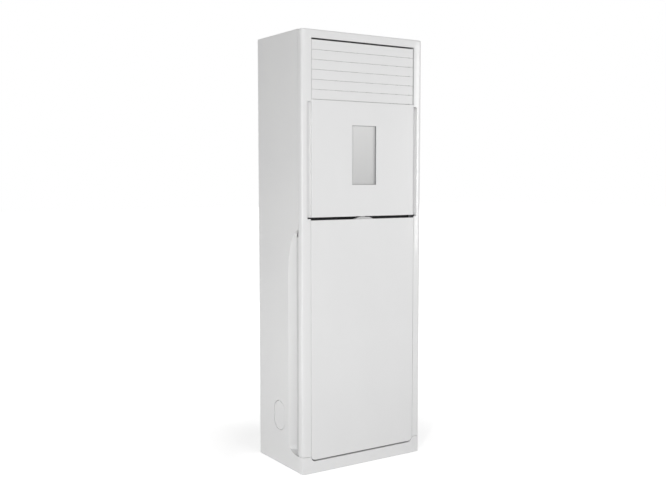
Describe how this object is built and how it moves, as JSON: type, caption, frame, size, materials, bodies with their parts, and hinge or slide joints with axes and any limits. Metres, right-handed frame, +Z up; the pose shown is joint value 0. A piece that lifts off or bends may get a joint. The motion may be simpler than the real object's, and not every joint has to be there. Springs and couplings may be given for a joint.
{
  "type": "floor standing air conditioner",
  "caption": "Tall white indoor air conditioner cabinet with a louvered outlet at the top, a middle panel with a sunk display window, a tilting lower panel and side intakes.",
  "frame": {"origin": "on the floor, under the middle of the cabinet", "axes": "+Z up, front face with the outlet towards -Y, +X to the right as seen from the front"},
  "size_m": [0.62, 0.375, 1.85],
  "materials": {
    "white_sheet": "smooth white powder coat",
    "white_moulding": "white semi-gloss moulded plastic",
    "window_grey": "light grey smooth lens",
    "latch_grey": "light grey moulded plastic",
    "zinc_steel": "zinc coated sheet steel",
    "fin_aluminium": "thin aluminium fins",
    "copper": "drawn copper tube",
    "brass": "turned brass",
    "dark_plastic": "dark moulded plastic",
    "filter_net": "grey plastic frame and net",
    "duct_plastic": "light grey moulded plastic",
    "foam": "closed cell foam",
    "pan_plastic": "off-white polystyrene",
    "motor_steel": "grey painted steel",
    "circuit_board": "green circuit board",
    "black_rubber": "soft black rubber"
  },
  "bodies": {
    "cabinet": {"base_pan": "zinc_steel", "base_skirt": "white_moulding", "right_side_panel": "white_sheet", "left_side_panel": "white_sheet", "back_panel": "white_sheet", "top_cover": "white_sheet", "cabinet_screws": "zinc_steel", "cable_grommet": "black_rubber", "front_frame": "white_moulding", "display_panel": "white_moulding", "display_window": "window_grey", "display_box": "dark_plastic", "display_board": "circuit_board", "chamber_front_plate": "zinc_steel", "latch_housing": "dark_plastic", "right_intake_grille": "dark_plastic", "left_intake_grille": "dark_plastic", "scroll_housing": "zinc_steel", "inlet_ring": "zinc_steel", "fan_motor": "motor_steel", "motor_mount": "zinc_steel", "fan_uprights": "zinc_steel", "mid_deck": "zinc_steel", "coil_fins": "fin_aluminium", "coil_end_plates": "zinc_steel", "coil_tubes": "copper", "drain_pan": "pan_plastic", "drain_pipe": "pan_plastic", "gas_pipe": "copper", "liquid_pipe": "copper", "flare_unions": "brass", "chamber_foam": "foam", "electrical_box": "zinc_steel", "electrical_box_cover": "zinc_steel", "control_board": "circuit_board", "terminal_block": "dark_plastic", "fan_capacitor": "motor_steel", "outlet_duct": "duct_plastic", "louver_motor": "motor_steel", "vane_motor": "motor_steel"},
    "louver_1_body": {"louver_1": "white_moulding"},
    "louver_2_body": {"louver_2": "white_moulding"},
    "louver_3_body": {"louver_3": "white_moulding"},
    "louver_4_body": {"louver_4": "white_moulding"},
    "louver_5_body": {"louver_5": "white_moulding"},
    "louver_6_body": {"louver_6": "white_moulding"},
    "louver_link_body": {"louver_link": "duct_plastic"},
    "louver_crank_body": {"louver_crank": "duct_plastic"},
    "vane_1_body": {"vane_1": "duct_plastic"},
    "vane_2_body": {"vane_2": "duct_plastic"},
    "vane_3_body": {"vane_3": "duct_plastic"},
    "vane_4_body": {"vane_4": "duct_plastic"},
    "vane_5_body": {"vane_5": "duct_plastic"},
    "vane_6_body": {"vane_6": "duct_plastic"},
    "vane_link_body": {"vane_link": "duct_plastic"},
    "fan_wheel_body": {"fan_wheel": "dark_plastic"},
    "lower_panel_body": {"lower_panel": "white_moulding"},
    "panel_latch_body": {"panel_latch": "latch_grey"},
    "right_filter_body": {"right_filter": "filter_net"},
    "left_filter_body": {"left_filter": "filter_net"}
  },
  "joints": [
    {"name": "louver_1_hinge", "type": "hinge", "parent": "cabinet", "child": "louver_1_body", "pos_m": [0, -0.1785, 1.7891], "axis": [1, 0, 0], "range_deg": [0, 80]},
    {"name": "louver_2_hinge", "type": "hinge", "parent": "cabinet", "child": "louver_2_body", "pos_m": [0, -0.1785, 1.7489], "axis": [1, 0, 0], "range_deg": [0, 80]},
    {"name": "louver_3_hinge", "type": "hinge", "parent": "cabinet", "child": "louver_3_body", "pos_m": [0, -0.1785, 1.7087], "axis": [1, 0, 0], "range_deg": [0, 80]},
    {"name": "louver_4_hinge", "type": "hinge", "parent": "cabinet", "child": "louver_4_body", "pos_m": [0, -0.1785, 1.6685], "axis": [1, 0, 0], "range_deg": [0, 80]},
    {"name": "louver_5_hinge", "type": "hinge", "parent": "cabinet", "child": "louver_5_body", "pos_m": [0, -0.1785, 1.6283], "axis": [1, 0, 0], "range_deg": [0, 80]},
    {"name": "louver_6_hinge", "type": "hinge", "parent": "cabinet", "child": "louver_6_body", "pos_m": [0, -0.1785, 1.5881], "axis": [1, 0, 0], "range_deg": [0, 80]},
    {"name": "louver_link_pivot", "type": "hinge", "parent": "louver_1_body", "child": "louver_link_body", "pos_m": [0.2399, -0.15334, 1.77276], "axis": [1, 0, 0], "range_deg": [-80, 0]},
    {"name": "louver_crank_hinge", "type": "hinge", "parent": "cabinet", "child": "louver_crank_body", "pos_m": [0.2434, -0.1485, 1.6886], "axis": [1, 0, 0], "range_deg": [0, 80]},
    {"name": "vane_1_hinge", "type": "hinge", "parent": "cabinet", "child": "vane_1_body", "pos_m": [-0.2, -0.1095, 1.6913], "axis": [0, 0, 1], "range_deg": [-35, 35]},
    {"name": "vane_2_hinge", "type": "hinge", "parent": "cabinet", "child": "vane_2_body", "pos_m": [-0.12, -0.1095, 1.6913], "axis": [0, 0, 1], "range_deg": [-35, 35]},
    {"name": "vane_3_hinge", "type": "hinge", "parent": "cabinet", "child": "vane_3_body", "pos_m": [-0.04, -0.1095, 1.6913], "axis": [0, 0, 1], "range_deg": [-35, 35]},
    {"name": "vane_4_hinge", "type": "hinge", "parent": "cabinet", "child": "vane_4_body", "pos_m": [0.04, -0.1095, 1.6913], "axis": [0, 0, 1], "range_deg": [-35, 35]},
    {"name": "vane_5_hinge", "type": "hinge", "parent": "cabinet", "child": "vane_5_body", "pos_m": [0.12, -0.1095, 1.6913], "axis": [0, 0, 1], "range_deg": [-35, 35]},
    {"name": "vane_6_hinge", "type": "hinge", "parent": "cabinet", "child": "vane_6_body", "pos_m": [0.2, -0.1095, 1.6913], "axis": [0, 0, 1], "range_deg": [-35, 35]},
    {"name": "vane_link_pivot", "type": "hinge", "parent": "vane_1_body", "child": "vane_link_body", "pos_m": [-0.2, -0.0875, 1.5761], "axis": [0, 0, 1], "range_deg": [-35, 35]},
    {"name": "fan_spin", "type": "hinge", "parent": "cabinet", "child": "fan_wheel_body", "pos_m": [0, 0.059, 0.56], "axis": [0, 1, 0], "continuous": true},
    {"name": "lower_panel_hinge", "type": "hinge", "parent": "cabinet", "child": "lower_panel_body", "pos_m": [0, -0.1795, 0.064], "axis": [1, 0, 0], "range_deg": [0, 30]},
    {"name": "latch_slide", "type": "slide", "parent": "cabinet", "child": "panel_latch_body", "axis": [0, 0, 1], "range_m": [0, 0.0035], "stiffness_N_per_m": 400, "springref_m": -0.002},
    {"name": "right_filter_slide", "type": "slide", "parent": "cabinet", "child": "right_filter_body", "axis": [0, 0, 1], "range_m": [0, 0.028]},
    {"name": "left_filter_slide", "type": "slide", "parent": "cabinet", "child": "left_filter_body", "axis": [0, 0, 1], "range_m": [0, 0.028]}
  ],
  "couplings": [
    {"joint": "louver_2_hinge", "follows": "louver_1_hinge", "ratio": 1},
    {"joint": "louver_3_hinge", "follows": "louver_1_hinge", "ratio": 1},
    {"joint": "louver_4_hinge", "follows": "louver_1_hinge", "ratio": 1},
    {"joint": "louver_5_hinge", "follows": "louver_1_hinge", "ratio": 1},
    {"joint": "louver_6_hinge", "follows": "louver_1_hinge", "ratio": 1},
    {"joint": "louver_link_pivot", "follows": "louver_1_hinge", "ratio": -1},
    {"joint": "louver_crank_hinge", "follows": "louver_1_hinge", "ratio": 1},
    {"joint": "vane_2_hinge", "follows": "vane_1_hinge", "ratio": 1},
    {"joint": "vane_3_hinge", "follows": "vane_1_hinge", "ratio": 1},
    {"joint": "vane_4_hinge", "follows": "vane_1_hinge", "ratio": 1},
    {"joint": "vane_5_hinge", "follows": "vane_1_hinge", "ratio": 1},
    {"joint": "vane_6_hinge", "follows": "vane_1_hinge", "ratio": 1},
    {"joint": "vane_link_pivot", "follows": "vane_1_hinge", "ratio": -1}
  ]
}
